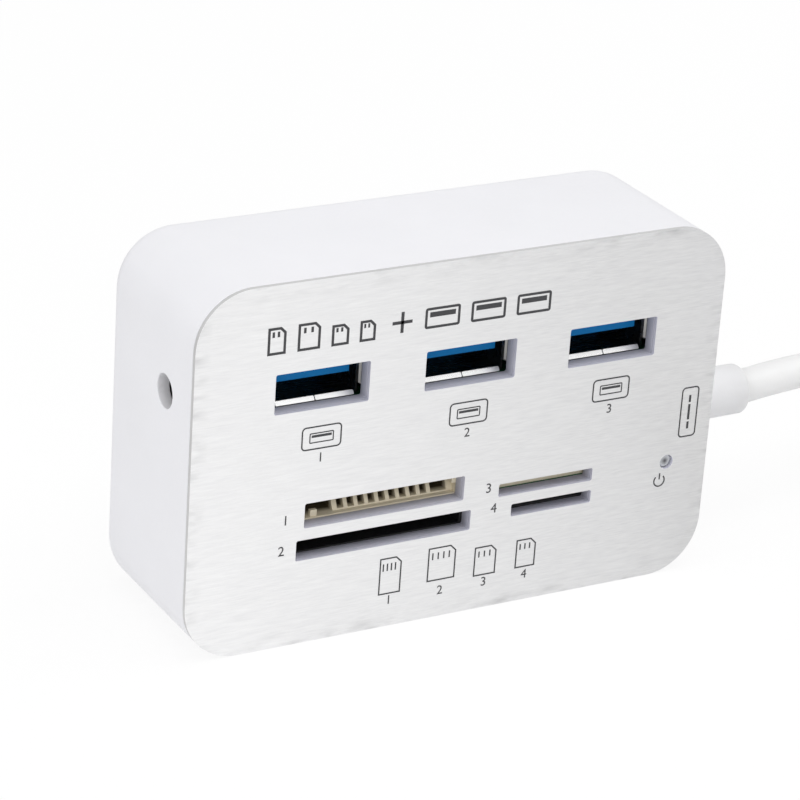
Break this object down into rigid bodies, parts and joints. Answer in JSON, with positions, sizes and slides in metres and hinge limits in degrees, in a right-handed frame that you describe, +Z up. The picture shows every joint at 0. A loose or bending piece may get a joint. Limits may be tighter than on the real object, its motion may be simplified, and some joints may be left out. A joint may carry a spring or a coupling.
{
  "type": "usb hub and card reader",
  "caption": "Small white desktop box with a brushed aluminium front, USB ports in a row above card slots, a status light, a side power inlet and a captive cable with a coil and plug.",
  "frame": {"origin": "centre of the casing's footprint, on the surface it stands on, without the cable", "axes": "+X to the casing's right with the front facing the viewer, +Y from the front to the back, +Z up"},
  "size_m": [0.172, 0.0593, 0.0495],
  "materials": {
    "brushed_aluminium": "brushed along its length, satin",
    "white_plastic": "smooth satin",
    "blue_plastic": "satin",
    "beige_plastic": "satin",
    "black_plastic": "satin",
    "plug_plastic": "satin",
    "tie_plastic": "satin",
    "clear_plastic": "clear and slightly cloudy",
    "cable_sheath": "smooth satin",
    "core_sheath": "smooth",
    "board": "solder resist",
    "plated_steel": "plated, bright",
    "can_aluminium": "bright",
    "contact_brass": "plated",
    "tape_film": "adhesive film"
  },
  "bodies": {
    "root": {"front_panel": "brushed_aluminium", "panel_tape": "tape_film", "front_frame": "white_plastic", "frame_screws": "plated_steel", "rear_shell": "white_plastic", "shell_posts": "white_plastic", "board_rails": "white_plastic", "hub_board": "board", "hub_chip": "black_plastic", "hub_crystal": "plated_steel", "bulk_capacitors": "can_aluminium", "capacitor_bases": "black_plastic", "ceramic_capacitors": "beige_plastic", "reader_board": "board", "reader_chip": "black_plastic", "link_header": "black_plastic", "link_pins": "contact_brass", "dc_jack_body": "black_plastic", "dc_jack_pin": "contact_brass", "dc_jack_spring": "contact_brass", "stick_socket": "beige_plastic", "card_socket": "black_plastic", "micro_stick_socket": "beige_plastic", "micro_card_socket": "black_plastic", "light_pipe": "clear_plastic", "power_led": "clear_plastic", "strain_relief": "white_plastic", "cable_cores": "core_sheath", "cable": "cable_sheath", "cable_coil": "cable_sheath", "cable_tail": "cable_sheath", "cable_tie": "tie_plastic", "plug_overmould": "white_plastic", "plug_shell": "plated_steel", "plug_tongue": "plug_plastic", "plug_contacts": "contact_brass", "usb_shell_1": "plated_steel", "usb_tongue_1": "blue_plastic", "usb_contacts_1": "contact_brass", "usb_shell_2": "plated_steel", "usb_tongue_2": "blue_plastic", "usb_contacts_2": "contact_brass", "usb_shell_3": "plated_steel", "usb_tongue_3": "blue_plastic", "usb_contacts_3": "contact_brass", "stick_contacts": "contact_brass", "stick_cover": "plated_steel", "card_contacts": "contact_brass", "card_cover": "plated_steel", "micro_stick_contacts": "contact_brass", "micro_stick_cover": "plated_steel", "micro_card_contacts": "contact_brass", "micro_card_cover": "plated_steel"}
  },
  "joints": []
}
